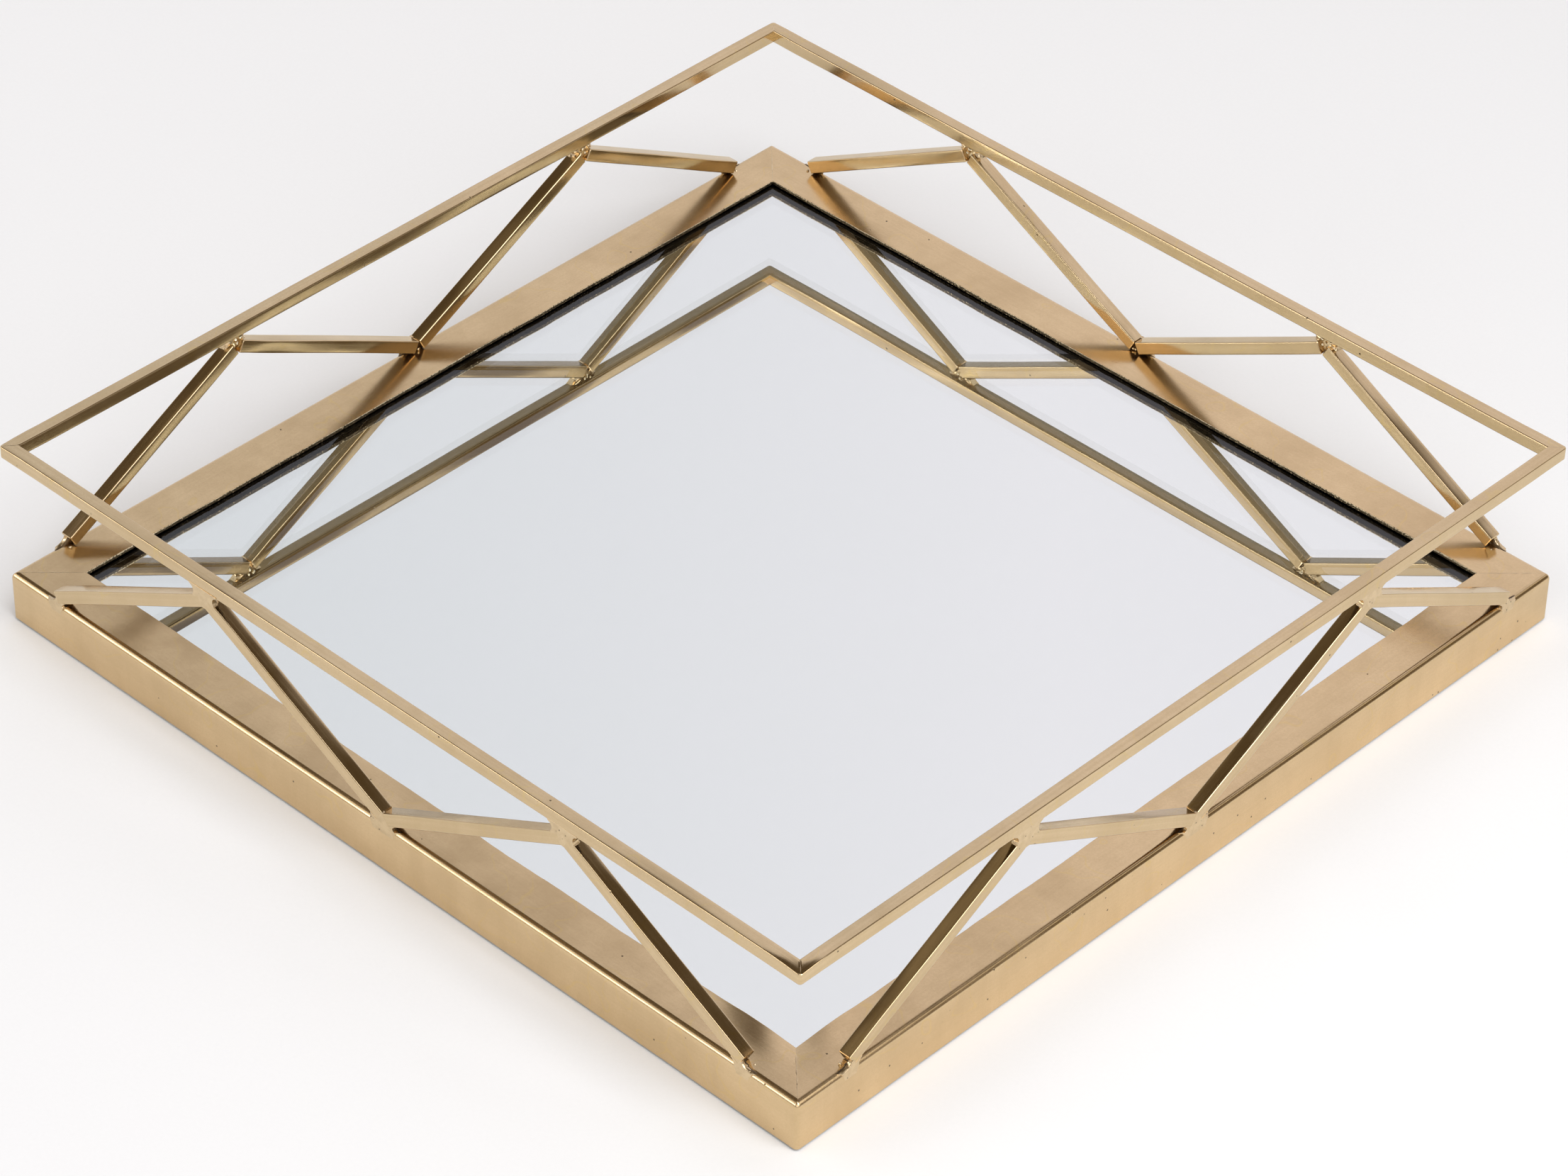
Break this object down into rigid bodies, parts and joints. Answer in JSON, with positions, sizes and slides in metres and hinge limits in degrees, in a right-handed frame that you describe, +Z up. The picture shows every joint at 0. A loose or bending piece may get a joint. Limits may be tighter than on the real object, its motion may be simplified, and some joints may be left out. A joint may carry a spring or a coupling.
{
  "type": "mirrored vanity tray",
  "caption": "Square tray with a mirror floor in a folded metal frame, and a raised square rim carried on a zigzag of slim bars.",
  "frame": {"origin": "centre of the felt underside, on the surface that the tray stands on", "axes": "+Z up out of the mirror, +X and +Y along the sides of the square; the sides are named front at -Y, right at +X, back at +Y and left at -X"},
  "size_m": [0.3, 0.3, 0.0596],
  "materials": {
    "gold_sheet": "satin plated, with a polished fold",
    "gold_bar": "drawn and polished, plated",
    "gold_braze": "ground flush outside, left as run inside",
    "mirror": "polished glass, silvered behind",
    "board": "raw fibreboard",
    "felt": "pressed felt",
    "clip_metal": "plated, unpolished"
  },
  "bodies": {
    "root": {"base_rail_front": "gold_sheet", "rim_bar_front": "gold_bar", "strut_front_1": "gold_bar", "strut_front_2": "gold_bar", "strut_front_3": "gold_bar", "strut_front_4": "gold_bar", "foot_braze_front_middle": "gold_braze", "peak_braze_front_start": "gold_braze", "foot_braze_front_start": "gold_braze", "board_clip_front_start": "clip_metal", "peak_braze_front_end": "gold_braze", "foot_braze_front_end": "gold_braze", "board_clip_front_end": "clip_metal", "base_rail_right": "gold_sheet", "rim_bar_right": "gold_bar", "strut_right_1": "gold_bar", "strut_right_2": "gold_bar", "strut_right_3": "gold_bar", "strut_right_4": "gold_bar", "foot_braze_right_middle": "gold_braze", "peak_braze_right_start": "gold_braze", "foot_braze_right_start": "gold_braze", "board_clip_right_start": "clip_metal", "peak_braze_right_end": "gold_braze", "foot_braze_right_end": "gold_braze", "board_clip_right_end": "clip_metal", "base_rail_back": "gold_sheet", "rim_bar_back": "gold_bar", "strut_back_1": "gold_bar", "strut_back_2": "gold_bar", "strut_back_3": "gold_bar", "strut_back_4": "gold_bar", "foot_braze_back_middle": "gold_braze", "peak_braze_back_start": "gold_braze", "foot_braze_back_start": "gold_braze", "board_clip_back_start": "clip_metal", "peak_braze_back_end": "gold_braze", "foot_braze_back_end": "gold_braze", "board_clip_back_end": "clip_metal", "base_rail_left": "gold_sheet", "rim_bar_left": "gold_bar", "strut_left_1": "gold_bar", "strut_left_2": "gold_bar", "strut_left_3": "gold_bar", "strut_left_4": "gold_bar", "foot_braze_left_middle": "gold_braze", "peak_braze_left_start": "gold_braze", "foot_braze_left_start": "gold_braze", "board_clip_left_start": "clip_metal", "peak_braze_left_end": "gold_braze", "foot_braze_left_end": "gold_braze", "board_clip_left_end": "clip_metal", "mirror_glass": "mirror", "backing_board": "board", "felt_pad": "felt"}
  },
  "joints": []
}
